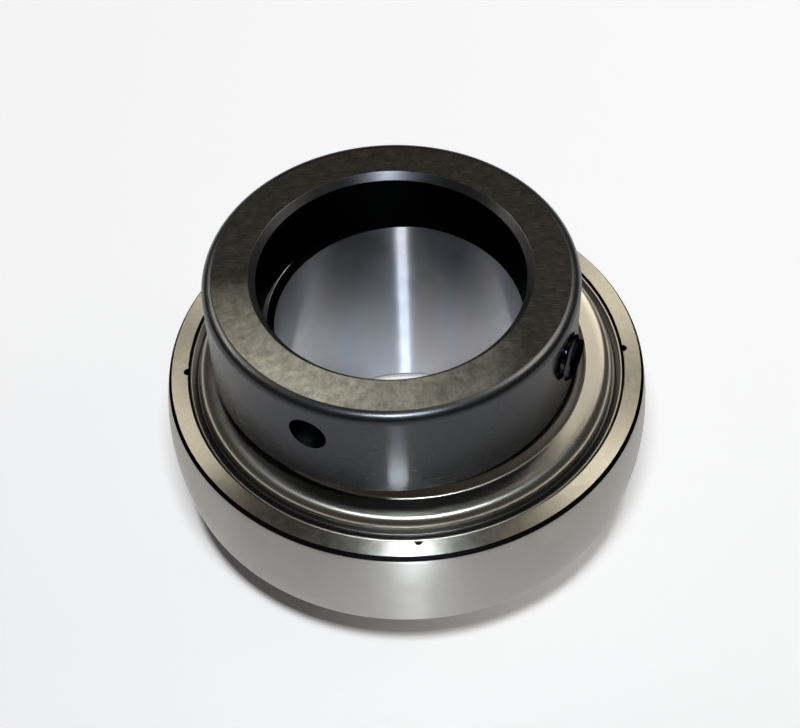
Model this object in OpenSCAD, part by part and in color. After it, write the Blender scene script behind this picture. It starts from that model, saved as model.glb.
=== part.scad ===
// Insert ball bearing: a spherical outer ring, a wide inner ring, a seal on each side
// and an eccentric locking collar. Sizes are in millimetres. The origin is the centre
// of the sphere, on the shaft's axis, and +Z points to the collar.

/* [Rings] */
// Bore of the inner ring, for the shaft
bore_d = 44.45; // [44.2:0.05:44.5]
// Diameter of the outer ring's sphere
outer_d = 85; // [84.8:0.1:85.6]
// Width of the outer ring
outer_w = 19; // [19:0.1:19.6]
// Width of the inner ring
inner_w = 42.86; // [42.4:0.02:43.4]
// Diameter of the inner ring's shoulders
shoulder_d = 57.2; // [57:0.1:57.3]
// Diameter where the outer ring's flat face meets its chamfer
face_d = 82.08; // [81.6:0.02:82.2]
// How far the outer ring's chamfer drops for each millimetre outwards
chamfer_slope = 1.3; // [1.1:0.05:1.5]
// Bore chamfer at the collar's end
top_chamfer = 1.2; // [0.8:0.1:1.4]
// Bore chamfer and outside edge at the foot
foot_chamfer = 0.7; // [0.5:0.1:1]

/* [Balls and cage] */
// Ball diameter
ball_d = 12.7; // [12.5:0.1:12.7]
// Pitch circle of the balls
pitch_d = 65; // [64.9:0.1:65.1]
// Radius of the groove that the balls run in
groove_r = 6.6; // [6.55:0.01:6.7]
// Play between a ball and each groove
ball_play = 0.05; // [0.03:0.01:0.1]
// Thickness of the cage's sheet
cage_sheet = 0.75; // [0.6:0.05:0.8]
// Width of the cage's ribbon across the ring
cage_band = 4.4; // [4:0.1:4.8]
// Play between a ball and its pocket
pocket_play = 0.15; // [0.1:0.01:0.2]
// Rivet shank diameter
rivet_d = 2; // [1.6:0.1:2.2]

/* [Seals] */
// Diameter of the recess that holds each seal
seat_d = 76.4; // [76.2:0.1:76.6]
// Depth of that recess below the ring's face
seat_depth = 2.4; // [2.4:0.05:2.5]
// Diameter of the outer ring's lands beside the groove
land_d = 72.8; // [72.4:0.1:73]
// Gap around the rim of a seal
rim_gap = 0.1; // [0.05:0.01:0.15]
// Thickness of the shroud's sheet
shroud_sheet = 0.5; // [0.4:0.05:0.55]
// Diameter of the shroud's upright outer wall
shroud_d = 72.16; // [71.9:0.02:72.3]
// Radius of the round shoulder above that wall
shroud_round = 2.08; // [1.9:0.02:2.2]
// Height of the shroud's flat face above the ring's mid plane
plate_z = 11.55; // [11.4:0.01:11.7]
// Diameter where the flat face turns up into the lip
throat_d = 63.1; // [62.9:0.1:63.4]
// Height of the lip's edge above the ring's mid plane
lip_z = 13.1; // [12.9:0.05:13.3]
// Steepness of the lip, from the flat face
lip_lean = 56; // [52:1:60]
// Gap between the washer's lip and the inner ring
lip_gap = 0.08; // [0.05:0.01:0.15]
// Radius of the staking notches at the edge of the recess
notch_r = 0.75; // [0.5:0.05:0.9]
// Depth of the staking notches
notch_depth = 0.8; // [0.4:0.05:1]
// Direction of the first staking notch
notch_turn = 1.4; // [0:0.1:90]

/* [Locking collar] */
// Outside diameter of the collar
collar_d = 62.5; // [62:0.1:63.5]
// Width of the collar
collar_w = 18.72; // [18.3:0.02:19]
// Bore of the collar
collar_bore_d = 44.7; // [44.6:0.05:44.8]
// Chamfer at the mouth of the collar's bore
collar_chamfer = 1.15; // [0.8:0.05:1.3]
// Round on the collar's upper edge
collar_round = 1.75; // [1:0.05:2]
// Chamfer on the collar's lower edge
collar_foot = 0.3; // [0.2:0.05:0.7]
// Distance from the shaft's axis to the cam's axis
cam_offset = 1.2; // [1:0.05:1.3]
// Direction in which the cam is offset
cam_turn = 231.1; // [0:0.1:360]
// Angle by which the collar is turned on from its open position
collar_turn = 134; // [0:1:180]
// Diameter of the cam on the inner ring
cam_d = 54.4; // [54:0.1:54.6]
// Height of the cam
cam_h = 6.8; // [6.7:0.05:7]
// Play between the cam and the collar's recess, across the radius
cam_play = 0.1; // [0.05:0.01:0.2]
// Gap between the inner ring's end and the recess floor
end_gap = 0.05; // [0.03:0.01:0.1]

/* [Set screw and drift hole] */
// Height of both holes above the collar's lower face
hole_z = 11.69; // [11.4:0.01:11.9]
// Diameter of the set screw over its thread
screw_d = 7.94; // [7.8:0.02:8]
// Length of the set screw
screw_length = 7.94; // [7.5:0.02:8.2]
// How far the set screw stands out of the collar
screw_out = 1.6; // [0.5:0.1:2]
// Width of the screw's hex socket across its flats
socket_flats = 3.97; // [3.8:0.01:4.1]
// Depth of the hex socket
socket_depth = 3.6; // [3:0.1:4]
// Direction of the set screw from the collar's axis
screw_turn = -26.5; // [-40:0.1:-10]
// Play between the set screw and its hole
screw_play = 0.08; // [0.05:0.01:0.1]
// Diameter of the drift hole
drift_d = 6.5; // [6:0.1:7]
// Depth of the drift hole's straight wall
drift_depth = 5; // [4:0.1:6]
// Direction of the drift hole from the collar's axis
drift_turn = -116.6; // [-130:0.1:-100]

/* [Hidden] */
$fn = 96;
cut = 1;
ball_count = 9;
ring_color = [0.72, 0.72, 0.7];
ball_color = [0.8, 0.8, 0.82];
cage_color = [0.62, 0.6, 0.56];
shroud_color = [0.66, 0.64, 0.6];
rubber_color = [0.12, 0.12, 0.12];
collar_color = [0.2, 0.2, 0.19];
screw_color = [0.08, 0.08, 0.08];

bore_r = bore_d / 2;
outer_r = outer_d / 2;
shoulder_r = shoulder_d / 2;
face_z = outer_w / 2;
inner_half = inner_w / 2;
seat_r = seat_d / 2;
seat_z = face_z - seat_depth;

pitch_r = pitch_d / 2;
ball_r = ball_d / 2;
ball_step = 360 / ball_count;
inner_groove_centre = pitch_r - ball_r - ball_play + groove_r;
outer_groove_centre = pitch_r + ball_r + ball_play - groove_r;
pocket_r = ball_r + pocket_play;
rivet_head_r = 0.75 * rivet_d;
rivet_head_h = 0.25 * rivet_d;
rivet_play = 0.02;

backing_h = 0.4;
washer_h = 0.5;
rim_r = seat_r - rim_gap;
backing_w = 2.7;
washer_z = seat_z + backing_h;
rim_z = washer_z + washer_h;
rim_rise = 1.12;
rim_bevel = [0.35, 0.42];
rim_flat = 0.2;
hem_w = 1.4;
fold = 0.18;
throat_r = 0.6;

cam_axis = cam_offset * [cos(cam_turn), sin(cam_turn)];
recess_turn = cam_turn + collar_turn;
recess_axis = cam_offset * [cos(recess_turn), sin(recess_turn)];
collar_axis = cam_axis - recess_axis;
collar_r = collar_d / 2;
collar_bore_r = collar_bore_d / 2;
cam_r = cam_d / 2;
recess_r = cam_r + cam_play;
cam_z = inner_half - cam_h;
collar_gap = 0.35;
collar_z = cam_z + collar_gap;
recess_depth = inner_half + end_gap - collar_z;

screw_r = screw_d / 2;
screw_edge = 0.6;
cup_r = 2.2;
cup_depth = 1.1;
drill_point = tan(31);

// Points along an arc in the profile plane, from one angle to another.
function arc(centre, radius, from, to, steps) = [
    for (i = [0 : steps])
        let (angle = from + (to - from) * i / steps)
        centre + radius * [cos(angle), sin(angle)]
];

// Ring of square section, standing on a height.
module flat_ring(outside_r, inside_r, bottom, height) {
    translate([0, 0, bottom])
    difference() {
        cylinder(r = outside_r, h = height);
        translate([0, 0, -cut]) cylinder(r = inside_r, h = height + 2 * cut);
    }
}

// Cone that breaks the upper edge of a bore, with its small end at height zero.
module edge_cutter(radius, chamfer) {
    cylinder(r1 = radius, r2 = radius + chamfer + cut, h = chamfer + cut);
}

// Round groove for the balls, all the way around.
module race_groove(centre_r) {
    rotate_extrude() translate([centre_r, 0]) circle(r = groove_r);
}

// One copy of the children at each ball, or midway between balls with a half step.
module at_each_ball(half_step = 0) {
    for (i = [1 : ball_count])
        rotate([0, 0, (i + half_step) * ball_step]) translate([pitch_r, 0, 0]) children();
}

// Moves the children from the collar's own frame to its place on the cam.
module on_collar() {
    translate([collar_axis.x, collar_axis.y, collar_z]) children();
}

// Turns the children's +Z outwards along a hole through the collar's wall.
module along_hole(turn, distance) {
    rotate([0, 0, turn]) translate([distance, 0, hole_z]) rotate([0, 90, 0]) children();
}

// Half the outer ring's section, mirrored about the ball plane.
module outer_ring_section() {
    blank_r = outer_r + cut;
    upper = [
        [land_d / 2, seat_z],
        [seat_r, seat_z],
        [seat_r, face_z],
        [face_d / 2, face_z],
        [blank_r, face_z - (blank_r - face_d / 2) * chamfer_slope]
    ];
    lower = [for (i = [len(upper) - 1 : -1 : 0]) [upper[i].x, -upper[i].y]];
    polygon(concat(upper, lower));
}

module stake_notches() {
    for (turn = [0 : 90 : 270])
        rotate([0, 0, notch_turn + turn])
        translate([seat_r, 0, face_z - notch_depth])
        cylinder(r = notch_r, h = notch_depth + cut);
}

module outer_ring() {
    color(ring_color)
    difference() {
        intersection() {
            rotate_extrude() outer_ring_section();
            sphere(r = outer_r);
        }
        race_groove(outer_groove_centre);
        stake_notches();
        mirror([0, 0, 1]) stake_notches();
    }
}

module inner_ring_section() {
    polygon([
        [bore_r, foot_chamfer - inner_half],
        [bore_r + foot_chamfer, -inner_half],
        [shoulder_r - foot_chamfer, -inner_half],
        [shoulder_r, foot_chamfer - inner_half],
        [shoulder_r, cam_z],
        [bore_r, cam_z]
    ]);
}

module inner_ring() {
    color(ring_color)
    difference() {
        union() {
            rotate_extrude() inner_ring_section();
            translate([cam_axis.x, cam_axis.y, cam_z - cut]) cylinder(r = cam_r, h = cam_h + cut);
        }
        translate([0, 0, -inner_half]) cylinder(r = bore_r, h = inner_w + cut);
        translate([0, 0, inner_half - top_chamfer]) edge_cutter(bore_r, top_chamfer);
        race_groove(inner_groove_centre);
    }
}

module ball(number) {
    color(ball_color)
    rotate([0, 0, number * ball_step]) translate([pitch_r, 0, 0]) sphere(r = ball_r);
}

// Upper half of the ribbon cage: flat between the balls and bulged around each one.
module cage_half() {
    bulge_r = pocket_r + cage_sheet;
    color(cage_color)
    difference() {
        intersection() {
            flat_ring(pitch_r + cage_band / 2, pitch_r - cage_band / 2, 0, bulge_r + cut);
            union() {
                cylinder(r = outer_r, h = cage_sheet);
                at_each_ball() sphere(r = bulge_r);
            }
        }
        at_each_ball() sphere(r = pocket_r);
        at_each_ball(0.5) translate([0, 0, -cut]) cylinder(d = rivet_d, h = cage_sheet + 2 * cut);
    }
}

module rivet() {
    head_z = cage_sheet;
    cylinder(r = rivet_d / 2 - rivet_play, h = 2 * cage_sheet, center = true);
    translate([0, 0, head_z]) cylinder(r = rivet_head_r, h = rivet_head_h);
    translate([0, 0, -head_z - rivet_head_h]) cylinder(r = rivet_head_r, h = rivet_head_h);
}

module cage_rivets() {
    color(cage_color) at_each_ball(0.5) rivet();
}

// Section of the upper pressed shroud: bevelled rim, groove, upright wall, round shoulder,
// flat face and a lip that turns up around the inner ring.
module shroud_section() {
    rim_top = rim_z + rim_rise;
    groove_z = rim_z + shroud_sheet;
    hem_r = rim_r - hem_w;
    wall_r = shroud_d / 2;
    shoulder = [wall_r - shroud_round, plate_z - shroud_round];
    throat = [throat_d / 2, plate_z + throat_r];
    down = 270;
    lip_side = [cos(down - lip_lean), sin(down - lip_lean)];
    lip_rise = [-cos(lip_lean), sin(lip_lean)];
    lip_foot = throat + throat_r * lip_side;
    lip_edge = lip_foot + lip_rise * (lip_z - lip_foot.y) / lip_rise.y;
    rim_face = [
        [rim_r, rim_z],
        [rim_r, rim_top - rim_bevel.y],
        [rim_r - rim_bevel.x, rim_top],
        [rim_r - rim_bevel.x - rim_flat, rim_top],
        [hem_r, groove_z + fold],
        [hem_r - fold, groove_z],
        [wall_r, groove_z]
    ];
    polygon(concat(
        rim_face,
        arc(shoulder, shroud_round, 0, 90, 14),
        arc(throat, throat_r, down, down - lip_lean, 8),
        [lip_edge, lip_edge + shroud_sheet * lip_side],
        arc(throat, throat_r + shroud_sheet, down - lip_lean, down, 8),
        arc(shoulder, shroud_round - shroud_sheet, 90, 0, 14),
        [[wall_r - shroud_sheet, rim_z]]
    ));
}

module seal_shroud() {
    color(shroud_color) rotate_extrude() shroud_section();
}

module seal_washer() {
    color(rubber_color) flat_ring(rim_r, shoulder_r + lip_gap, washer_z, washer_h);
}

module seal_backing() {
    color(cage_color) flat_ring(rim_r, rim_r - backing_w, seat_z, backing_h);
}

// Section of the collar's wall, with a rounded upper edge and a chamfered lower one.
module collar_section() {
    polygon(concat(
        [
            [collar_bore_r, 0],
            [collar_r - collar_foot, 0],
            [collar_r, collar_foot]
        ],
        arc([collar_r - collar_round, collar_w - collar_round], collar_round, 0, 90, 12),
        [
            [collar_bore_r + collar_chamfer, collar_w],
            [collar_bore_r, collar_w - collar_chamfer]
        ]
    ));
}

module locking_collar() {
    color(collar_color)
    on_collar()
    difference() {
        rotate_extrude() collar_section();
        translate([recess_axis.x, recess_axis.y, -cut]) cylinder(r = recess_r, h = recess_depth + cut);
        along_hole(screw_turn, 0) cylinder(r = screw_r + screw_play, h = collar_r + cut);
        along_hole(drift_turn, collar_r - drift_depth) drift_hole();
    }
}

module drift_hole() {
    drift_r = drift_d / 2;
    point_h = drift_r * drill_point;
    cylinder(r = drift_r, h = drift_depth + cut);
    translate([0, 0, -point_h]) cylinder(r1 = 0, r2 = drift_r, h = point_h);
}

module set_screw() {
    socket_r = socket_flats / 2 / cos(30);
    color(screw_color)
    on_collar()
    along_hole(screw_turn, collar_r + screw_out - screw_length)
    difference() {
        union() {
            cylinder(r1 = screw_r - screw_edge, r2 = screw_r, h = screw_edge);
            translate([0, 0, screw_edge]) cylinder(r = screw_r, h = screw_length - 2 * screw_edge);
            translate([0, 0, screw_length - screw_edge])
            cylinder(r1 = screw_r, r2 = screw_r - screw_edge, h = screw_edge);
        }
        translate([0, 0, screw_length - socket_depth]) cylinder(r = socket_r, h = socket_depth + cut, $fn = 6);
        translate([0, 0, -cut]) cylinder(r1 = cup_r * (1 + cut / cup_depth), r2 = 0, h = cup_depth + cut);
    }
}

outer_ring();
inner_ring();
for (i = [1 : ball_count])
    ball(i);
cage_half();  // cage_upper_half
mirror([0, 0, 1]) cage_half();  // cage_lower_half
cage_rivets();
seal_shroud();  // upper_seal_shroud
seal_washer();  // upper_seal_washer
seal_backing();  // upper_seal_backing
mirror([0, 0, 1]) seal_shroud();  // lower_seal_shroud
mirror([0, 0, 1]) seal_washer();  // lower_seal_washer
mirror([0, 0, 1]) seal_backing();  // lower_seal_backing
locking_collar();
set_screw();
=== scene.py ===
"""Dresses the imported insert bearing: ground rings, pressed seals, a black locking collar and its screw."""

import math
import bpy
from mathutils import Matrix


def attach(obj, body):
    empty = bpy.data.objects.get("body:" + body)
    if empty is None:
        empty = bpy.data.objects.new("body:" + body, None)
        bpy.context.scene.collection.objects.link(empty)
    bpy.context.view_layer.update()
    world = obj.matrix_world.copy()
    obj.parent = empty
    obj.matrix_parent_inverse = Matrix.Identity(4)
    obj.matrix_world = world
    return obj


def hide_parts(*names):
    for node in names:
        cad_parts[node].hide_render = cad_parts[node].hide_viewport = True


bl_info = {
    "name": "Insert ball bearing",
    "version": (1, 0, 0),
    "blender": (4, 5, 0),
    "location": "View3D > Sidebar > Bearing",
    "description": "Builds the finished pieces of an insert ball bearing around its CAD frame",
    "category": "Object",
}

import bmesh
import bpy
from bpy.props import FloatProperty, FloatVectorProperty, IntProperty, PointerProperty
from bpy.types import Operator, Panel, PropertyGroup
from mathutils import Matrix, Vector

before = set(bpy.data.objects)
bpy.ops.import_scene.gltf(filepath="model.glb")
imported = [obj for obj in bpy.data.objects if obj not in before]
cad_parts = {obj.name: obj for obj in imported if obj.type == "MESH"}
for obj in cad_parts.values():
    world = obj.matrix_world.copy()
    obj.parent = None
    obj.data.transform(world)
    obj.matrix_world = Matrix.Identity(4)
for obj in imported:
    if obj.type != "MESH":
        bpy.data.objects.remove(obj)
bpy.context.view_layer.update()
MM = 0.001
FULL_TURN = 2 * math.pi
TINY = 0.01 * MM
SHARP_EDGE = math.radians(30)
MARK_DEPTH = 0.05 * MM
GRAIN_DEPTH = 0.1 * MM
PLACE_SOCKET = "NodeSocketVector"
VALUE_SOCKET = "NodeSocketFloat"


def length(name, millimetres, text):
    """A length property with its default in millimetres."""
    return FloatProperty(name=name, description=text, default=millimetres * MM, unit="LENGTH", precision=5)


def position(name, millimetres, text):
    """A place or an offset, with its default in millimetres."""
    metres = [value * MM for value in millimetres]
    return FloatVectorProperty(
        name=name, description=text, default=metres, subtype="TRANSLATION", precision=5
    )


def angle(name, degrees, text):
    """An angle property with its default in degrees."""
    return FloatProperty(name=name, description=text, default=math.radians(degrees), subtype="ANGLE")


def amount(name, value, text):
    """A plain number property."""
    return FloatProperty(name=name, description=text, default=value, precision=5)


def colour(name, rgb, text):
    """A colour property, in linear light."""
    return FloatVectorProperty(
        name=name, description=text, default=rgb, size=3, min=0, max=1, subtype="COLOR"
    )


class RingSizes(PropertyGroup):
    """Sizes of the outer and inner rings."""

    outer_radius: length("Sphere radius", 42.485, "Radius of the outer ring's sphere")
    face_height: length("Face height", 9.5, "Height of the outer ring's face above the ball plane")
    face_radius: length("Face radius", 41.04, "Where the flat face meets the chamfer")
    chamfer_radius: length("Chamfer radius", 41.58, "Where the chamfer meets the sphere")
    seat_radius: length("Seal recess radius", 38.2, "Radius of the recess that holds a seal")
    seat_height: length("Seal recess height", 7.1, "Height of the recess floor above the ball plane")
    land_radius: length("Outer land radius", 36.4, "Radius of the lands beside the outer groove")
    groove_radius: length("Groove radius", 6.6, "Radius of the ball grooves in section")
    outer_groove_centre: length("Outer groove centre", 32.3, "Radius of the outer groove's centre line")
    inner_groove_centre: length("Inner groove centre", 32.7, "Radius of the inner groove's centre line")
    notch_radius: length("Notch radius", 0.75, "Radius of the staking notches")
    notch_depth: length("Notch depth", 0.8, "Depth of the staking notches")
    notch_turn: angle("Notch direction", 1.4, "Direction of the first staking notch")
    bore_radius: length("Bore radius", 22.225, "Radius of the inner ring's bore")
    inner_half: length("Inner ring half width", 21.43, "Half the width of the inner ring")
    shoulder_radius: length("Shoulder radius", 28.6, "Radius of the inner ring's shoulders")
    top_chamfer: length("Upper bore chamfer", 1.2, "Bore chamfer at the collar's end")
    foot_chamfer: length("Foot chamfer", 0.7, "Chamfers at the foot of the inner ring")
    cam_radius: length("Cam radius", 27.2, "Radius of the eccentric cam")
    cam_height: length("Cam foot", 14.63, "Height of the cam's foot above the ball plane")
    cam_offset: position("Cam offset", (-0.7536, -0.9339, 0), "Offset of the cam from the bore's axis")


class SealSizes(PropertyGroup):
    """Sizes of the pressed seal shrouds, measured from the ball plane."""

    rim_radius: length("Rim radius", 38.1, "Outside radius of the shroud")
    rim_foot: length("Rim foot", 8.0, "Height of the rim's underside")
    rim_top: length("Rim top", 9.12, "Height of the rim's upper edge")
    rim_bevel: length("Rim bevel", 0.35, "Width of the bevel outside the rim's upper edge")
    rim_drop: length("Rim drop", 0.24, "Height of that bevel")
    hem_radius: length("Hem radius", 36.7, "Inner edge of the sloping hem")
    groove_height: length("Groove height", 8.5, "Height of the groove's floor")
    wall_radius: length("Wall radius", 36.08, "Radius of the upright wall inside the groove")
    shoulder: length("Shoulder", 2.08, "Radius of the round shoulder above the wall")
    plate_height: length("Face height", 11.55, "Height of the flat face")
    throat_radius: length("Throat", 31.55, "Where the flat face turns up into the lip")
    throat_round: length("Throat round", 0.6, "Radius of that turn")
    lip_height: length("Lip height", 13.1, "Height of the lip's edge")
    lip_lean: angle("Lip lean", 56, "Steepness of the lip, from the flat face")
    sheet: length("Sheet", 0.5, "Thickness of the pressed sheet")


class CollarSizes(PropertyGroup):
    """Sizes of the locking collar and its set screw."""

    axis: position("Axis", (-1.9488, -1.0406, 0), "Place of the collar's axis")
    base: length("Lower face", 14.98, "Height of the collar's lower face above the ball plane")
    radius: length("Radius", 31.25, "Outside radius of the collar")
    width: length("Width", 18.72, "Width of the collar")
    bore_radius: length("Bore radius", 22.35, "Radius of the collar's bore")
    chamfer: length("Chamfer", 1.15, "Chamfer at the mouth of the bore")
    edge_round: length("Edge round", 1.75, "Round on the upper edge")
    foot: length("Foot chamfer", 0.3, "Chamfer on the lower edge")
    recess_radius: length("Recess radius", 27.3, "Radius of the recess over the cam")
    recess_depth: length("Recess depth", 6.5, "Depth of the recess over the cam")
    recess_offset: position("Recess offset", (1.1952, 0.1067, 0), "Offset of the recess from the axis")
    hole_height: length("Hole height", 11.69, "Height of both holes above the lower face")
    drift_radius: length("Drift hole radius", 3.25, "Radius of the drift hole")
    drift_depth: length("Drift hole depth", 5.0, "Depth of the drift hole's straight wall")
    drift_turn: angle("Drift hole direction", -116.6, "Direction of the drift hole")
    screw_radius: length("Screw radius", 3.97, "Radius over the screw's thread")
    screw_length: length("Screw length", 7.94, "Length of the set screw")
    screw_out: length("Screw stand", 1.6, "How far the screw stands out of the collar")
    screw_turn: angle("Screw direction", -26.5, "Direction of the set screw")
    thread_pitch: length("Thread pitch", 1.411, "Pitch of the screw's thread")
    thread_depth: length("Thread depth", 0.62, "Depth of the screw's thread")
    hole_play: length("Hole play", 0.08, "Play between the screw and its hole")
    socket_radius: length("Socket radius", 2.292, "Corner radius of the hex socket")
    socket_depth: length("Socket depth", 3.6, "Depth of the hex socket")


class Finishes(PropertyGroup):
    """Colours of the surfaces."""

    ring_face: colour("Ring face", (0.60, 0.575, 0.51), "Ground flat faces of the outer ring")
    ring_sphere: colour("Ring sphere", (0.385, 0.37, 0.345), "Satin ground sphere")
    # The chamfer colour also serves as painted shade in the seal seats, the notches and the inner ring's
    # upper end.
    chamfer_and_shade: colour("Ring chamfer", (0.006, 0.0055, 0.006), "Dark unground chamfers, also painted shade in recesses and at the inner ring's upper end")
    inner_ring: colour("Inner ring", (0.38, 0.39, 0.415), "Honed and ground inner ring")
    shroud: colour("Shroud", (0.58, 0.55, 0.485), "Pressed steel shrouds")
    # Painted shade: a darker copy of the shroud steel for the hem, groove and wall.
    shroud_groove_shade: colour("Shroud groove", (0.22, 0.21, 0.20), "Painted shade on the hem, groove and wall of the shrouds")
    # Painted shade: a darker copy of the shroud steel for the lip under the collar.
    shroud_lip_shade: colour("Shroud lip", (0.19, 0.165, 0.14), "Lip of the shrouds, darkened as painted shade under the collar")
    # Paler tone that the collar's upper face takes toward the front left.
    collar_face: colour("Collar face", (0.53, 0.515, 0.445), "Paler tone of the collar's upper face, toward the front left")
    collar_oxide: colour("Collar oxide", (0.056, 0.052, 0.045), "Darker oxide on the collar's upper face")
    collar_side: colour("Collar side", (0.062, 0.063, 0.066), "Outside of the collar")
    collar_edge: colour("Collar edge", (0.095, 0.099, 0.106), "Rounded upper edge of the collar")
    collar_bore: colour("Collar bore", (0.009, 0.010, 0.012), "Bore of the collar")
    collar_hole: colour("Drift hole", (0.075, 0.082, 0.095), "Drilled drift hole")
    collar_mouth: colour("Collar mouth", (0.115, 0.12, 0.13), "Chamfer at the mouth of the collar's bore")
    screw: colour("Screw", (0.05, 0.05, 0.055), "Set screw")
    ball: colour("Ball", (0.72, 0.72, 0.74), "Balls")
    cage: colour("Cage", (0.42, 0.40, 0.37), "Cage, rivets and backing rings")
    rubber: colour("Rubber", (0.020, 0.020, 0.021), "Seal washers")


class Studio(PropertyGroup):
    """The camera and the lights."""

    target: position("Target", (-1.022, 0, 8.465), "Point that the camera looks at")
    distance: length("Distance", 288.607, "Distance of the camera from that point")
    elevation: angle("Elevation", 49.87, "Camera's height above the horizon")
    roll: angle("Roll", -2.09, "Camera's roll")
    focal: length("Focal length", 73.804, "Focal length on a sensor 36 mm wide")
    floor_height: length("Floor height", -21.43, "Height of the floor from the ball plane")
    floor_white: amount("Floor white", 0.82, "How light the floor looks away from the shadow")
    floor_lit: amount("Floor lit share", 0.50, "Share of that light which the shadow takes away")
    key: position("Key", (-2.0, -130.0, 285.4), "Place of the key light")
    key_power: amount("Key power", 0.57, "Power of the key light, in watts")
    glint_power: amount("Glint power", 0.45, "Power of the key light as reflections show it, in watts")
    streak_power: amount("Streak power", 0.46, "Power of the strip that the bore mirrors, in watts")
    gleam_power: amount("Gleam power", 0.00027, "Power of the small lamp at the collar's foot, in watts")
    front_power: amount("Front power", 0.63, "Power of the strip that the sphere mirrors, in watts")
    side_power: amount("Side power", 0.8, "Power of the warm light from the right, in watts")
    right_power: amount("Right panel power", 2.35, "Power of the ceiling panel on the right, in watts")
    left_power: amount("Left panel power", 2.0, "Power of the ceiling panel on the left, in watts")
    back_power: amount("Back panel power", 3.0, "Power of the wide panel behind, in watts")
    segments: IntProperty(
        name="Segments", description="Facets around each round piece", default=256, min=64, max=512
    )


class Section:
    """A closed outline in the XZ plane, drawn corner by corner and then spun about the Z axis."""

    def __init__(self, radius, height, fillet=0.0):
        self.bm = bmesh.new()
        self.first = self.bm.verts.new((radius, 0, height))
        self.last = self.first
        self.fillets = [(self.first, fillet)]

    def to(self, radius, height, fillet=0.0):
        """Draws a straight line to a corner, which may be rounded."""
        corner = self.bm.verts.new((radius, 0, height))
        self.bm.edges.new((self.last, corner))
        self.fillets.append((corner, fillet))
        self.last = corner

    def around(self, centre, degrees, steps):
        """Draws an arc about a point. Positive degrees turn from +X to +Z."""
        made = bmesh.ops.spin(
            self.bm,
            geom=[self.last],
            cent=(centre[0], 0, centre[1]),
            axis=(0, 1, 0),
            angle=-math.radians(degrees),
            steps=steps,
        )
        self.last = next(v for v in made["geom_last"] if isinstance(v, bmesh.types.BMVert))

    def spun(self, segments):
        """Closes the outline, rounds its corners and spins it into a ring."""
        self.bm.edges.new((self.last, self.first))
        for corner, fillet in self.fillets:
            if fillet > 0:
                round_corner(self.bm, corner, fillet)
        spin_about_z(self.bm, FULL_TURN, segments, use_merge=True)
        face_outwards(self.bm)
        return self.bm


def round_corner(bm, corner, fillet):
    """Rounds one corner of an outline."""
    bmesh.ops.bevel(
        bm,
        geom=[corner],
        offset=fillet,
        offset_type="OFFSET",
        affect="VERTICES",
        segments=4,
        profile=0.5,
        material=-1,
    )


def spin_about_z(bm, turn, steps, **options):
    """Spins all points and edges about the Z axis."""
    outline = bm.verts[:] + bm.edges[:]
    bmesh.ops.spin(bm, geom=outline, cent=(0, 0, 0), axis=(0, 0, 1), angle=turn, steps=steps, **options)


def face_outwards(bm):
    """Turns the normals of all faces outwards."""
    bmesh.ops.recalc_face_normals(bm, faces=bm.faces[:])


def merge_points(bm, gap):
    """Joins the points that lie closer than a gap."""
    bmesh.ops.remove_doubles(bm, verts=bm.verts[:], dist=gap)


def from_axis(point):
    """Distance of a point from the Z axis."""
    return math.hypot(point.x, point.y)


def height_at(radius, reach):
    """Height of a circle above its centre, at a distance to the side."""
    return math.sqrt(radius**2 - reach**2)


def shift_band(bm, low_radius, high_radius, lowest, offset):
    """Moves the points of one round wall sideways, so that it becomes eccentric."""
    wall = [v for v in bm.verts if low_radius < from_axis(v.co) < high_radius and v.co.z > lowest]
    bmesh.ops.translate(bm, verts=wall, vec=offset)


def paint(bm, choose):
    """Gives each face the material number that the function chooses from its centre and normal."""
    for face in bm.faces:
        face.material_index = choose(face.calc_center_median(), face.normal)


def to_object(name, bm, materials=()):
    """Turns a bmesh into a linked object with its materials."""
    mesh = bpy.data.meshes.new(name)
    bm.to_mesh(mesh)
    bm.free()
    for material in materials:
        mesh.materials.append(material)
    obj = bpy.data.objects.new(name, mesh)
    bpy.context.scene.collection.objects.link(obj)
    return obj


def apply_modifiers(obj):
    """Makes the modified mesh the object's own."""
    bpy.context.view_layer.update()
    graph = bpy.context.evaluated_depsgraph_get()
    before = obj.data
    obj.data = bpy.data.meshes.new_from_object(obj.evaluated_get(graph))
    obj.modifiers.clear()
    bpy.data.meshes.remove(before)


def combine(obj, bm, operation):
    """Cuts a bmesh from an object, or keeps what they share."""
    tool = to_object(obj.name + "_tool", bm, obj.data.materials)
    step = obj.modifiers.new("combine", "BOOLEAN")
    step.operation = operation
    step.solver = "EXACT"
    step.object = tool
    apply_modifiers(obj)
    tool_mesh = tool.data
    bpy.data.objects.remove(tool)
    bpy.data.meshes.remove(tool_mesh)


def finish_piece(obj, body, node):
    """Smooths the shading, ties the piece to its CAD body and hides the CAD node that it replaces."""
    mesh = obj.data
    mesh.shade_smooth()
    mesh.set_sharp_from_angle(angle=SHARP_EDGE)
    normals = obj.modifiers.new("weighted normals", "WEIGHTED_NORMAL")
    normals.mode = "FACE_AREA"
    normals.keep_sharp = True
    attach(obj, body)
    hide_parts(node)


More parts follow.
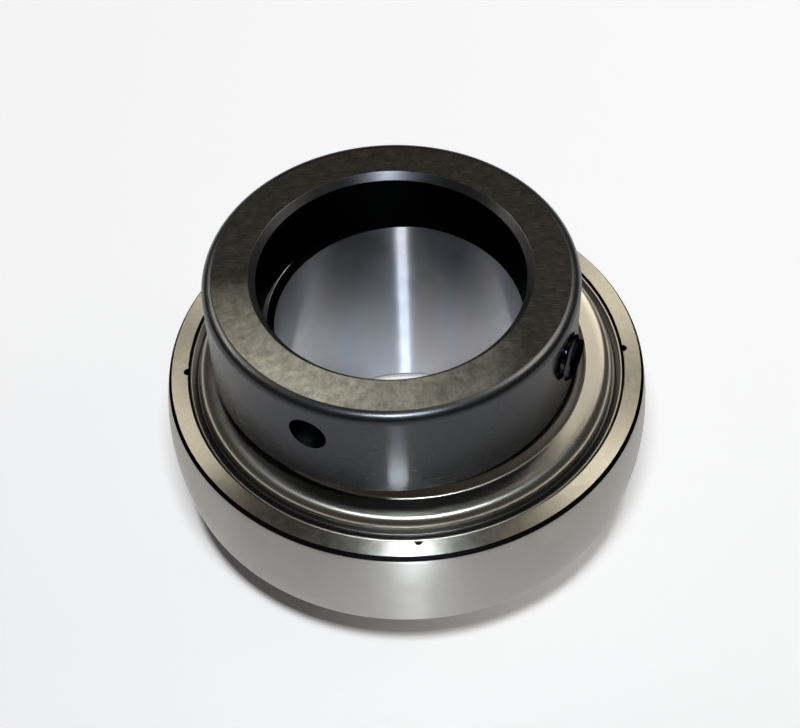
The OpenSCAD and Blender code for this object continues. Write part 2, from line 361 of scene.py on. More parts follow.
class Nodes:
    """Short calls for laying out a node tree. Most add a node and return its output."""

    def __init__(self, tree):
        self.tree = tree

    def feed(self, socket, value):
        """Links an output to a socket, or sets its value."""
        if isinstance(value, bpy.types.NodeSocket):
            self.tree.links.new(value, socket)
        else:
            socket.default_value = value

    def plug(self, node, **inputs):
        """Sets or links a node's inputs by name, with spaces written as underscores."""
        for name, value in inputs.items():
            self.feed(node.inputs[name.replace("_", " ")], value)

    def add(self, kind, settings=None, **inputs):
        """Adds a node with its settings and inputs, and returns the node."""
        node = self.tree.nodes.new(kind)
        for name, value in (settings or {}).items():
            setattr(node, name, value)
        self.plug(node, **inputs)
        return node

    def fill(self, kind, settings, output, *values):
        """Adds a node, sets or links its first inputs in order and returns one output."""
        node = self.add(kind, settings)
        for socket, value in zip(node.inputs, values):
            self.feed(socket, value)
        return node.outputs[output]

    def math(self, operation, *values):
        """A Math node."""
        return self.fill("ShaderNodeMath", {"operation": operation}, "Value", *values)

    def weigh(self, first, second, share):
        """The sum of two values, of which the second has the given share."""
        rest = self.math("MULTIPLY", first, 1 - share)
        return self.math("ADD", rest, self.math("MULTIPLY", second, share))

    def spread(self, value, low, high, to_low=0.0, to_high=1.0):
        """A clamped Map Range node."""
        return self.fill("ShaderNodeMapRange", None, "Result", value, low, high, to_low, to_high)

    def apart(self, first, second):
        """The distance between two places."""
        return self.fill("ShaderNodeVectorMath", {"operation": "DISTANCE"}, "Value", first, second)

    def mapped(self, vector, **inputs):
        """A Mapping node, which moves, turns or scales places."""
        return self.add("ShaderNodeMapping", Vector=vector, **inputs).outputs["Vector"]

    def blend(self, share, first, second):
        """A mix of two colours."""
        node = self.add("ShaderNodeMix", {"data_type": "RGBA"}, Factor=share, A=first, B=second)
        return node.outputs["Result"]

    def shaded(self, tint, share):
        """A colour made darker or lighter."""
        node = self.add("ShaderNodeVectorMath", {"operation": "SCALE"}, Vector=tint, Scale=share)
        return node.outputs["Vector"]

    def noise(self, vector, scale, detail=2.0, roughness=0.5):
        """The value of a 3D noise."""
        node = self.add("ShaderNodeTexNoise", Vector=vector, Scale=scale)
        self.plug(node, Detail=detail, Roughness=roughness)
        return node.outputs["Fac"]

    def bump(self, strength, depth, height, **inputs):
        """The normal of a bumpy surface."""
        node = self.add("ShaderNodeBump", Strength=strength, Distance=depth, Height=height, **inputs)
        return node.outputs["Normal"]

    def group(self, name, **inputs):
        """Places a node group with its own values and returns all its outputs."""
        return self.add("ShaderNodeGroup", {"node_tree": bpy.data.node_groups[name]}, **inputs).outputs


def new_group(name, inputs, output):
    """Starts a node group that gives one value, and returns its helper and its two ends."""
    tree = bpy.data.node_groups.new(name, "ShaderNodeTree")
    for key, kind in inputs.items():
        tree.interface.new_socket(name=key, in_out="INPUT", socket_type=kind)
    tree.interface.new_socket(name=output, in_out="OUTPUT", socket_type=VALUE_SOCKET)
    nodes = Nodes(tree)
    return nodes, nodes.add("NodeGroupInput").outputs, nodes.add("NodeGroupOutput").inputs


def make_turning_marks():
    """Fine lines that run around the axis, as a lathe or a grinding wheel leaves them."""
    inputs = {"Vector": PLACE_SOCKET, "Along": VALUE_SOCKET, "Across": VALUE_SOCKET}
    nodes, given, out = new_group("turning marks", inputs, "Lines")
    least_radius = 0.1 * MM
    split = nodes.add("ShaderNodeSeparateXYZ", Vector=given["Vector"]).outputs
    square_x = nodes.math("MULTIPLY", split["X"], split["X"])
    square_y = nodes.math("MULTIPLY", split["Y"], split["Y"])
    radius = nodes.math("SQRT", nodes.math("ADD", square_x, square_y))
    safe = nodes.math("MAXIMUM", radius, least_radius)
    around_x = nodes.math("MULTIPLY", nodes.math("DIVIDE", split["X"], safe), given["Along"])
    around_y = nodes.math("MULTIPLY", nodes.math("DIVIDE", split["Y"], safe), given["Along"])
    across = nodes.math("MULTIPLY", radius, given["Across"])
    rise = nodes.math("MULTIPLY", split["Z"], given["Across"])
    place = nodes.add("ShaderNodeCombineXYZ", X=around_x, Y=around_y, Z=across).outputs["Vector"]
    settings = {"noise_dimensions": "4D"}
    noise = nodes.add(
        "ShaderNodeTexNoise", settings, Vector=place, W=rise, Scale=1.0, Detail=3.0, Roughness=0.6
    )
    nodes.feed(out["Lines"], noise.outputs["Fac"])


def make_scratches():
    """Thin straight scratches on a flat face, in two directions."""
    nodes, given, out = new_group("scratches", {"Vector": PLACE_SOCKET}, "Scratch")
    directions = (0.5, 2.1)
    long_and_thin = (70.0, 1900.0, 0.0)
    core, edge = 0.02, 0.07
    total = 0.0
    for turn in directions:
        lay = nodes.mapped(given["Vector"], Rotation=(0, 0, turn), Scale=long_and_thin)
        cells = nodes.add("ShaderNodeTexVoronoi", {"voronoi_dimensions": "2D"}, Vector=lay, Scale=1.0)
        line = nodes.spread(cells.outputs["Distance"], core, edge, 1.0, 0.0)
        total = nodes.math("MAXIMUM", total, line)
    nodes.feed(out["Scratch"], total)


def solid(tint, share=1.0):
    """A colour at a share of its strength, with full alpha."""
    return [min(1.0, channel * share) for channel in tint] + [1]


def new_material(name, centre=(0, 0, 0)):
    """Starts a material, and returns it with its helper, its shader and the places about a centre."""
    material = bpy.data.materials.new(name)
    material.use_nodes = True
    nodes = Nodes(material.node_tree)
    shader = material.node_tree.nodes["Principled BSDF"]
    place = nodes.add("ShaderNodeTexCoord").outputs["Object"]
    return material, nodes, shader, nodes.mapped(place, Location=[-c for c in centre])


def metal(name, base, roughness, spread=0.06, along=6.0, across=4000.0, lines=0.05, stretch=0.0,
          smudge=90.0, shade=0.85, centre=(0, 0, 0), rim=1.0, lay=0.25, grain=0.0, bands=0.0):
    """A machined metal: turning marks and smudges vary its colour, roughness and surface.

    Along and across set how close the marks are, lines and grain how deep the bumps are, smudge how small
    the blotches are, shade how dark the tone gets, and stretch and lay how the marks draw out a reflection.
    """
    grain_scale = 2600.0
    material, nodes, shader, place = new_material(name, centre)
    marks = nodes.group("turning marks", Vector=place, Along=along, Across=across)["Lines"]
    blotch = nodes.spread(nodes.noise(place, smudge, 4.0, 0.62), 0.3, 0.7)
    tone = nodes.weigh(marks, blotch, 0.5)
    tint = nodes.blend(tone, solid(base, shade), solid(base, 2 - shade))
    if bands > 0:
        tint = banded(nodes, place, tint, base, bands)
    rough = nodes.spread(tone, 0.25, 0.75, roughness - spread, roughness + spread)
    normal = nodes.bump(lines, MARK_DEPTH, marks)
    if grain > 0:
        normal = nodes.bump(grain, MARK_DEPTH, nodes.noise(place, grain_scale), Normal=normal)
    nodes.plug(shader, Base_Color=tint, Metallic=1.0, Roughness=rough, Normal=normal)
    nodes.plug(shader, Specular_Tint=(rim, rim, rim, 1))
    if stretch > 0:
        around = nodes.add("ShaderNodeTangent", {"direction_type": "RADIAL", "axis": "Z"})
        nodes.plug(shader, Anisotropic=stretch, Anisotropic_Rotation=lay, Tangent=around.outputs["Tangent"])
    return material


def banded(nodes, place, tint, base, strength):
    """Upright bands of a warmer and a cooler tone, as a light film of oil leaves them."""
    tall = (1, 1, 0.15)
    band_scale = 170.0
    cover = 0.75
    bands = nodes.spread(nodes.noise(nodes.mapped(place, Scale=tall), band_scale), 0.38, 0.62)
    red, green, blue = base
    warm = (red * (1 + strength), green * (1 - 0.2 * strength), blue * (1 - strength), 1)
    cool = (red * (1 - strength), green, blue * (1 + strength), 1)
    return nodes.blend(cover, tint, nodes.blend(bands, warm, cool))


def oxide_paler_front_left(name, oxide, pale_tone, centre):
    """Dark oxide that turns paler toward the front left, with strokes, blotches and scratches."""
    oval = (0.7, 1.2, 0)
    palest = (-13.5 * MM, -28.8 * MM, 0)
    pale_core, pale_edge = 5 * MM, 29 * MM
    raggedness = 14 * MM
    scratch_tint = (0.36, 0.345, 0.31, 1)
    scratch_strength = 0.35
    dark_share, light_share = 0.6, 1.15
    material, nodes, shader, place = new_material(name, centre)
    away = nodes.apart(nodes.mapped(place, Scale=oval), palest)
    stroke = nodes.group("turning marks", Vector=place, Along=70.0, Across=420.0)["Lines"]
    blotch = nodes.noise(place, 620.0, 6.0, 0.72)
    cloud = nodes.noise(place, 110.0, 3.0, 0.6)
    ragged = nodes.math("MULTIPLY", nodes.math("SUBTRACT", cloud, 0.5), raggedness)
    # The tone turns paler within a ragged oval toward the front left.
    paler_share = nodes.spread(nodes.math("ADD", away, ragged), pale_core, pale_edge, 1.0, 0.0)
    grain = nodes.weigh(stroke, blotch, 0.75)
    scratch = nodes.group("scratches", Vector=place)["Scratch"]
    tone = nodes.blend(paler_share, solid(oxide), solid(pale_tone))
    contrast = nodes.spread(grain, 0.38, 0.62)
    varied = nodes.blend(contrast, nodes.shaded(tone, dark_share), nodes.shaded(tone, light_share))
    scratched = nodes.blend(nodes.math("MULTIPLY", scratch, scratch_strength), varied, scratch_tint)
    rough = nodes.spread(grain, 0.3, 0.7, 0.52, 0.64)
    normal = nodes.bump(0.35, GRAIN_DEPTH, grain)
    nodes.plug(shader, Base_Color=scratched, Metallic=1.0, Roughness=rough, Normal=normal)
    return material


def rubber(name, base):
    """Matt moulded rubber with a fine grain."""
    material, nodes, shader, place = new_material(name)
    grain = nodes.noise(place, 2500.0, 3.0)
    tint = nodes.blend(grain, solid(base, 0.7), solid(base))
    rough = nodes.spread(grain, 0.3, 0.7, 0.55, 0.75)
    nodes.plug(shader, Base_Color=tint, Roughness=rough, Normal=nodes.bump(0.2, GRAIN_DEPTH, grain))
    return material


def dress_node(node, material):
    """Puts a finished material on a CAD node that stays as it is."""
    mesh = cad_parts[node].data
    mesh.materials.clear()
    mesh.materials.append(material)


def cylinder(bm, radius, depth, matrix, sides, top=None):
    """Adds a closed cylinder or cone along its own Z, centred on its matrix."""
    bmesh.ops.create_cone(
        bm,
        cap_ends=True,
        segments=sides,
        radius1=radius,
        radius2=radius if top is None else top,
        depth=depth,
        matrix=matrix,
    )


def threaded_rod(crest, depth, pitch, height):
    """A closed rod with a helical thread, from zero to a height along Z."""
    per_turn = 48
    turns = math.ceil(height / pitch) + 2
    bm = bmesh.new()
    root = crest - depth
    # Each corner of one thread is a radius and a share of the pitch.
    section = [(root, 0), (root, 0.2), (crest, 0.44), (crest, 0.58), (root, 0.82), (root, 1)]
    chain = [bm.verts.new((radius, 0, (share - 1) * pitch)) for radius, share in section]
    for first, second in zip(chain, chain[1:]):
        bm.edges.new((first, second))
    spin_about_z(bm, FULL_TURN * turns, per_turn * turns, dvec=(0, 0, pitch / per_turn))
    merge_points(bm, TINY / 2)
    for level, direction in ((0, -1), (height, 1)):
        bmesh.ops.bisect_plane(
            bm,
            geom=bm.verts[:] + bm.edges[:] + bm.faces[:],
            plane_co=(0, 0, level),
            plane_no=(0, 0, direction),
            clear_outer=True,
        )
        rim = [e for e in bm.edges if e.is_boundary and all(abs(v.co.z - level) < TINY for v in e.verts)]
        bmesh.ops.edgenet_fill(bm, edges=rim)
    face_outwards(bm)
    return bm


def hole_matrix(sizes, turn, distance):
    """Places +Z along a hole in the collar's wall, at a distance from the collar's axis."""
    centre = sizes.axis + Vector((0, 0, sizes.base + sizes.hole_height))
    outwards = Vector((math.cos(turn), math.sin(turn), 0))
    place = Matrix.Translation(centre + outwards * distance)
    return place @ Matrix.Rotation(turn, 4, "Z") @ Matrix.Rotation(math.pi / 2, 4, "Y")


class BEARING_OT_finishes(Operator):
    """Builds the shared effects that the materials use"""

    bl_idname = "bearing.finishes"
    bl_label = "Shared finishes"

    def execute(self, context):
        make_turning_marks()
        make_scratches()
        return {"FINISHED"}


class BEARING_OT_outer_ring(Operator):
    """Builds the ground outer ring with its sphere, chamfers, seal recesses and staking notches"""

    bl_idname = "bearing.outer_ring"
    bl_label = "Outer ring"
    FACE, SPHERE, DARK = range(3)

    def execute(self, context):
        sizes = context.scene.bearing_rings
        finish = context.scene.bearing_finishes
        face = metal("ground ring face", finish.ring_face, 0.45, along=14.0, across=2200.0, lines=0.12,
                     stretch=1.0, smudge=900.0, shade=0.76)
        sphere = metal("satin ring sphere", finish.ring_sphere, 0.37, along=9.0, across=1900.0,
                       stretch=0.9, smudge=110.0, shade=0.90)
        dark = metal("dark ring chamfer and painted shade", finish.chamfer_and_shade, 0.45, lines=0.03, rim=0.3)
        bm = self.ring(sizes, context.scene.bearing_studio.segments)
        paint(bm, lambda centre, normal: self.surface(sizes, centre))
        ring = to_object("ground_outer_ring", bm, (face, sphere, dark))
        combine(ring, self.notches(sizes), "DIFFERENCE")
        finish_piece(ring, "outer_ring", "outer_ring")
        return {"FINISHED"}

    def ring(self, sizes, segments):
        """Spins the ring's section."""
        chamfer_height = height_at(sizes.outer_radius, sizes.chamfer_radius)
        sphere_arc = 2 * math.degrees(math.asin(chamfer_height / sizes.outer_radius))
        reach = sizes.land_radius - sizes.outer_groove_centre
        groove_arc = 2 * math.degrees(math.acos(reach / sizes.groove_radius))
        groove_height = height_at(sizes.groove_radius, reach)
        edge = 0.08 * MM
        corners = (
            (sizes.seat_radius, sizes.seat_height, 0),
            (sizes.seat_radius, sizes.face_height, edge),
            (sizes.face_radius, sizes.face_height, edge),
        )
        section = Section(sizes.land_radius, sizes.seat_height)
        for corner in corners:
            section.to(*corner)
        section.to(sizes.chamfer_radius, chamfer_height)
        section.around((0, 0), -sphere_arc, steps=20)
        for radius, height, fillet in reversed(corners):
            section.to(radius, -height, fillet)
        section.to(sizes.land_radius, -sizes.seat_height)
        section.to(sizes.land_radius, -groove_height)
        section.around((sizes.outer_groove_centre, 0), groove_arc, steps=14)
        return section.spun(segments)

    def surface(self, sizes, centre):
        """Material number: ground face, satin sphere, or the dark of the chamfers, which also paints shade
        in the seal seats.
        """
        radius = from_axis(centre)
        # Painted shade: the seal seats take the chamfers' dark colour.
        if sizes.land_radius + TINY < radius < sizes.seat_radius + TINY:
            return self.DARK
        if radius < sizes.face_radius - TINY:
            return self.FACE
        chamfer_height = height_at(sizes.outer_radius, sizes.chamfer_radius)
        return self.DARK if abs(centre.z) > chamfer_height else self.SPHERE

    def notches(self, sizes):
        """Cutters for four staking notches in each face."""
        bm = bmesh.new()
        for side in (-1, 1):
            for quarter in range(4):
                turn = Matrix.Rotation(sizes.notch_turn + quarter * FULL_TURN / 4, 4, "Z")
                place = Matrix.Translation((sizes.seat_radius, 0, side * sizes.face_height))
                cylinder(bm, sizes.notch_radius, 2 * sizes.notch_depth, turn @ place, sides=32)
        # Painted shade: the notches take the chamfers' dark colour.
        paint(bm, lambda centre, normal: self.DARK)
        return bm


class BEARING_OT_inner_ring(Operator):
    """Builds the inner ring with its honed bore, ball groove and eccentric cam"""

    bl_idname = "bearing.inner_ring"
    bl_label = "Inner ring"
    BORE, DARK = range(2)

    def execute(self, context):
        sizes = context.scene.bearing_rings
        finish = context.scene.bearing_finishes
        bore = metal("honed inner ring", finish.inner_ring, 0.24, spread=0.03, along=8.0, across=2300.0,
                     lines=0.02, stretch=0.9, smudge=260.0, shade=0.72, grain=0.12, bands=0.07)
        dark = metal("bore end painted shade", finish.chamfer_and_shade, 0.4, lines=0.03)
        bm = self.ring(sizes, context.scene.bearing_studio.segments)
        paint(bm, lambda centre, normal: self.surface(sizes, centre))
        ring = to_object("honed_inner_ring", bm, (bore, dark))
        finish_piece(ring, "inner_ring", "inner_ring")
        return {"FINISHED"}

    def ring(self, sizes, segments):
        """Spins the ring's section and moves the cam off the axis."""
        reach = sizes.inner_groove_centre - sizes.shoulder_radius
        groove_arc = 2 * math.degrees(math.acos(reach / sizes.groove_radius))
        groove_height = height_at(sizes.groove_radius, reach)
        half = sizes.inner_half
        edge = 0.1 * MM
        section = Section(sizes.bore_radius, sizes.foot_chamfer - half, edge)
        section.to(sizes.bore_radius + sizes.foot_chamfer, -half, edge)
        section.to(sizes.shoulder_radius - sizes.foot_chamfer, -half, edge)
        section.to(sizes.shoulder_radius, sizes.foot_chamfer - half, edge)
        section.to(sizes.shoulder_radius, -groove_height)
        section.around((sizes.inner_groove_centre, 0), -groove_arc, steps=14)
        section.to(sizes.shoulder_radius, sizes.cam_height, edge)
        section.to(sizes.cam_radius, sizes.cam_height)
        section.to(sizes.cam_radius, half, edge)
        section.to(sizes.bore_radius + sizes.top_chamfer, half, edge)
        section.to(sizes.bore_radius, half - sizes.top_chamfer, edge)
        bm = section.spun(segments)
        low = sizes.bore_radius + 2 * sizes.top_chamfer
        high = sizes.cam_radius + TINY
        shift_band(bm, low, high, sizes.cam_height - TINY, sizes.cam_offset)
        return bm

    def surface(self, sizes, centre):
        """Material number: honed steel, or painted shade on the chamfer and end face at the bore's upper
        end, under the collar.
        """
        bright_edge = 0.06 * MM
        bright_margin = 2 * MM
        radius = from_axis(centre)
        # Painted shade: the upper chamfer and end face take the chamfers' dark colour, all but a thin edge.
        if centre.z <= sizes.inner_half - sizes.top_chamfer:
            return self.BORE
        if radius >= sizes.cam_radius - bright_margin:
            return self.BORE
        at_edge = abs(radius - sizes.bore_radius - sizes.top_chamfer) < bright_edge
        return self.BORE if at_edge else self.DARK


class BEARING_OT_seals(Operator):
    """Builds the pressed shrouds and dresses the washers and backing rings"""

    bl_idname = "bearing.seals"
    bl_label = "Seals"
    STEEL, GROOVE, LIP = range(3)

    def execute(self, context):
        sizes = context.scene.bearing_seals
        finish = context.scene.bearing_finishes
        steel = metal("pressed shroud steel", finish.shroud, 0.29, spread=0.03, along=5.0, across=2600.0,
                      lines=0.02, stretch=0.6, smudge=70.0, shade=0.92, lay=0.0)
        groove = metal("shroud groove painted shade", finish.shroud_groove_shade, 0.33, spread=0.03, lines=0.02,
                       shade=0.9)
        lip = metal("shroud lip painted shade", finish.shroud_lip_shade, 0.33, spread=0.03, lines=0.02, shade=0.93)
        backing = metal("backing ring steel", finish.cage, 0.4)
        washer = rubber("seal rubber", finish.rubber)
        for side in ("upper", "lower"):
            bm = self.shroud(sizes, context.scene.bearing_studio.segments)
            paint(bm, lambda centre, normal: self.surface(sizes, centre))
            if side == "lower":
                bmesh.ops.scale(bm, vec=(1, 1, -1), verts=bm.verts[:])
                face_outwards(bm)
            shroud = to_object("pressed_shroud_" + side, bm, (steel, groove, lip))
            finish_piece(shroud, "outer_ring", side + "_seal_shroud")
            dress_node(side + "_seal_washer", washer)
            dress_node(side + "_seal_backing", backing)
        return {"FINISHED"}

    def surface(self, sizes, centre):
        """Material number: bright steel, painted shade on the hem, groove and wall, or painted shade on the
        lip under the collar.
        """
        radius = from_axis(centre)
        lip_start = sizes.throat_radius - 0.8 * sizes.throat_round
        hem_start = sizes.rim_radius - sizes.rim_bevel - 0.2 * MM
        groove_top = sizes.rim_top + 0.4 * MM
        # Painted shade: the lip, under the collar, takes a darker copy of the shroud steel.
        if radius < lip_start:
            return self.LIP
        # Painted shade: the hem, groove and wall take a darker copy of the shroud steel.
        in_groove = sizes.wall_radius - TINY < radius < hem_start
        return self.GROOVE if in_groove and centre.z < groove_top else self.STEEL

    def shroud(self, sizes, segments):
        """Spins the section of the upper shroud: rim, groove, wall, shoulder, flat face and lip."""
        soft = 0.1 * MM
        fold = 0.18 * MM
        rim_inside = sizes.rim_radius - sizes.rim_bevel
        crown_radius = 8 * MM
        crown_arc = 8
        shoulder_arc = 90 - crown_arc
        crown_turn = math.radians(crown_arc)
        crown_side = Vector((math.sin(crown_turn), math.cos(crown_turn)))
        fall = crown_radius * (1 - math.cos(crown_turn))
        shoulder_height = sizes.plate_height - fall - sizes.shoulder * math.cos(crown_turn)
        shoulder = Vector((sizes.wall_radius - sizes.shoulder, shoulder_height))
        crown_centre = shoulder + (sizes.shoulder - crown_radius) * crown_side
        throat = Vector((sizes.throat_radius, sizes.plate_height + sizes.throat_round))
        lean = math.degrees(sizes.lip_lean)
        side = Vector((-math.sin(sizes.lip_lean), -math.cos(sizes.lip_lean)))
        rise = Vector((-math.cos(sizes.lip_lean), math.sin(sizes.lip_lean)))
        foot = throat + sizes.throat_round * side
        edge = foot + rise * (sizes.lip_height - foot.y) / rise.y
        section = Section(sizes.rim_radius, sizes.rim_foot)
        section.to(sizes.rim_radius, sizes.rim_top - sizes.rim_drop, soft)
        section.to(rim_inside, sizes.rim_top, soft)
        section.to(rim_inside - 2 * soft, sizes.rim_top, soft / 2)
        section.to(sizes.hem_radius, sizes.groove_height + fold, soft)
        section.to(sizes.hem_radius - fold, sizes.groove_height, soft / 2)
        section.to(sizes.wall_radius, sizes.groove_height, soft)
        section.to(sizes.wall_radius, shoulder_height)
        section.around(shoulder, shoulder_arc, steps=20)
        section.around(crown_centre, crown_arc, steps=8)
        section.to(*throat - Vector((0, sizes.throat_round)))
        section.around(throat, -lean, steps=10)
        section.to(*edge, 2 * soft)
        section.to(*(edge + sizes.sheet * side), soft)
        section.to(*(foot + sizes.sheet * side))
        section.around(throat, lean, steps=10)
        section.to(crown_centre.x, sizes.plate_height - sizes.sheet)
        section.around(crown_centre, -crown_arc, steps=4)
        section.around(shoulder, -shoulder_arc, steps=14)
        section.to(sizes.wall_radius - sizes.sheet, sizes.rim_foot)
        return section.spun(segments)


class BEARING_OT_balls_and_cage(Operator):
    """Dresses the balls, the cage halves and the rivets"""

    bl_idname = "bearing.balls_and_cage"
    bl_label = "Balls and cage"

    def execute(self, context):
        finish = context.scene.bearing_finishes
        ball = metal("polished ball", finish.ball, 0.12, spread=0.03, lines=0.02)
        cage = metal("pressed cage", finish.cage, 0.38, across=2000.0)
        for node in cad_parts:
            if node.startswith("ball_"):
                dress_node(node, ball)
            elif node.startswith("cage_"):
                dress_node(node, cage)
        return {"FINISHED"}


class BEARING_OT_locking_collar(Operator):
    """Builds the black locking collar with its recess, drift hole and tapped hole"""

    bl_idname = "bearing.locking_collar"
    bl_label = "Locking collar"
    SIDE, FACE, BORE, EDGE, HOLE, MOUTH = range(6)

    def execute(self, context):
        sizes = context.scene.bearing_collar
        finish = context.scene.bearing_finishes
        middle = sizes.axis
        face = oxide_paler_front_left("collar face", finish.collar_oxide, finish.collar_face, middle)
        side = metal("collar side", finish.collar_side, 0.28, spread=0.02, along=9.0, across=1700.0,
                     lines=0.0, stretch=0.85, smudge=110.0, shade=0.91, centre=middle)
        edge = metal("collar edge", finish.collar_edge, 0.31, spread=0.03, lines=0.02, shade=0.9,
                     centre=middle)
        bore = metal("collar bore", finish.collar_bore, 0.35, across=3000.0, lines=0.06, stretch=0.6,
                     centre=middle, rim=0.3)
        drilled = metal("drilled hole", finish.collar_hole, 0.28, lines=0.02, centre=middle)
        mouth = metal("collar mouth", finish.collar_mouth, 0.36, across=3000.0, stretch=0.8, centre=middle)
        bm = self.collar(sizes, context.scene.bearing_studio.segments)
        paint(bm, lambda centre, normal: self.surface(sizes, centre, normal))
        bmesh.ops.translate(bm, verts=bm.verts[:], vec=sizes.axis + Vector((0, 0, sizes.base)))
        collar = to_object("black_locking_collar", bm, (side, face, bore, edge, drilled, mouth))
        combine(collar, self.drift_hole(sizes), "DIFFERENCE")
        combine(collar, self.tapped_hole(sizes), "DIFFERENCE")
        finish_piece(collar, "locking_collar", "locking_collar")
        return {"FINISHED"}

    def collar(self, sizes, segments):
        """Spins the collar's section in its own frame and moves the recess off the axis."""
        edge = 0.1 * MM
        top = sizes.width
        section = Section(sizes.bore_radius, sizes.recess_depth, edge)
        section.to(sizes.recess_radius, sizes.recess_depth, edge)
        section.to(sizes.recess_radius, 0, edge)
        section.to(sizes.radius - sizes.foot, 0, edge)
        section.to(sizes.radius, sizes.foot, edge)
        section.to(sizes.radius, top - sizes.edge_round)
        section.around((sizes.radius - sizes.edge_round, top - sizes.edge_round), 90, steps=12)
        section.to(sizes.bore_radius + sizes.chamfer, top, edge)
        section.to(sizes.bore_radius, top - sizes.chamfer, edge)
        bm = section.spun(segments)
        low = sizes.recess_radius - 2 * edge
        high = sizes.recess_radius + 2 * edge
        shift_band(bm, low, high, -TINY, sizes.recess_offset)
        return bm

    def surface(self, sizes, centre, normal):
        """Material number: satin side, upper face, dark bore, rounded edge or the bore's mouth."""
        upright = 0.95
        bore_limit = sizes.bore_radius + 0.1 * MM
        edge_foot = sizes.width - 0.55 * sizes.edge_round
        radius = from_axis(centre)
        if normal.z > upright and radius < sizes.radius - sizes.edge_round + TINY:
            return self.FACE
        if radius < bore_limit and centre.z < sizes.width - sizes.chamfer:
            return self.BORE
        if radius < sizes.bore_radius + sizes.chamfer and centre.z > sizes.width - sizes.edge_round:
            return self.MOUTH
        return self.EDGE if centre.z > edge_foot else self.SIDE

    def drift_hole(self, sizes):
        """Cutter for the blind drift hole, with a drill point."""
        sides = 64
        spare = 2 * MM
        tip_radius = 0.02 * MM
        drill_slope = math.radians(31)
        bm = bmesh.new()
        floor = sizes.radius - sizes.drift_depth
        depth = sizes.drift_depth + spare
        wall = hole_matrix(sizes, sizes.drift_turn, floor + depth / 2)
        cylinder(bm, sizes.drift_radius, depth, wall, sides)
        point = sizes.drift_radius * math.tan(drill_slope)
        tip = hole_matrix(sizes, sizes.drift_turn, floor - point / 2)
        cylinder(bm, tip_radius, point, tip, sides, sizes.drift_radius)
        merge_points(bm, TINY)
        least_area = 0.9 * math.pi * sizes.drift_radius**2
        caps = [f for f in bm.faces if len(f.verts) == sides and f.calc_area() > least_area]
        caps.sort(key=lambda f: from_axis(f.calc_center_median()))
        bmesh.ops.delete(bm, geom=caps[:-1], context="FACES_ONLY")
        face_outwards(bm)
        paint(bm, lambda centre, normal: self.HOLE)
        return bm

    def tapped_hole(self, sizes):
        """Cutter for the threaded hole."""
        spare = 2 * MM
        thread = 0.4 * MM
        wall = sizes.radius - sizes.bore_radius
        crest = sizes.screw_radius + sizes.hole_play + thread
        bm = threaded_rod(crest, thread, sizes.thread_pitch, wall + 2 * spare)
        place = hole_matrix(sizes, sizes.screw_turn, sizes.bore_radius - spare)
        bmesh.ops.transform(bm, matrix=place, verts=bm.verts[:])
        return bm


class BEARING_OT_set_screw(Operator):
    """Builds the set screw with its thread, hex socket and cup point"""

    bl_idname = "bearing.set_screw"
    bl_label = "Set screw"

    def execute(self, context):
        sizes = context.scene.bearing_collar
        finish = context.scene.bearing_finishes
        black = metal("black set screw", finish.screw, 0.17, spread=0.04, smudge=300.0, centre=sizes.axis,
                      rim=0.15)
        rod = threaded_rod(sizes.screw_radius, sizes.thread_depth, sizes.thread_pitch, sizes.screw_length)
        screw = to_object("threaded_set_screw", rod, (black,))
        combine(screw, self.envelope(sizes), "INTERSECT")
        combine(screw, self.socket(sizes), "DIFFERENCE")
        distance = sizes.radius + sizes.screw_out - sizes.screw_length
        screw.data.transform(hole_matrix(sizes, sizes.screw_turn, distance))
        finish_piece(screw, "set_screw", "set_screw")
        return {"FINISHED"}

    def envelope(self, sizes):
        """The screw's chamfered outside, with a cup at its inner end."""
        bevel = 0.6 * MM
        over = 0.2 * MM
        near_axis = 0.02 * MM
        cup_radius = 2.2 * MM
        cup_depth = 1.1 * MM
        merge = 0.05 * MM
        end = sizes.screw_length
        section = Section(near_axis, cup_depth)
        section.to(cup_radius, 0)
        section.to(sizes.screw_radius - bevel, 0)
        section.to(sizes.screw_radius + over, bevel + over)
        section.to(sizes.screw_radius + over, end - bevel - over)
        section.to(sizes.screw_radius - bevel, end)
        section.to(near_axis, end)
        bm = section.spun(segments=96)
        merge_points(bm, merge)
        face_outwards(bm)
        return bm

    def socket(self, sizes):
        """Cutter for the hex socket."""
        bm = bmesh.new()
        spare = 1 * MM
        depth = sizes.socket_depth + spare
        middle = sizes.screw_length - sizes.socket_depth + depth / 2
        cylinder(bm, sizes.socket_radius, depth, Matrix.Translation((0, 0, middle)), sides=6)
        return bm


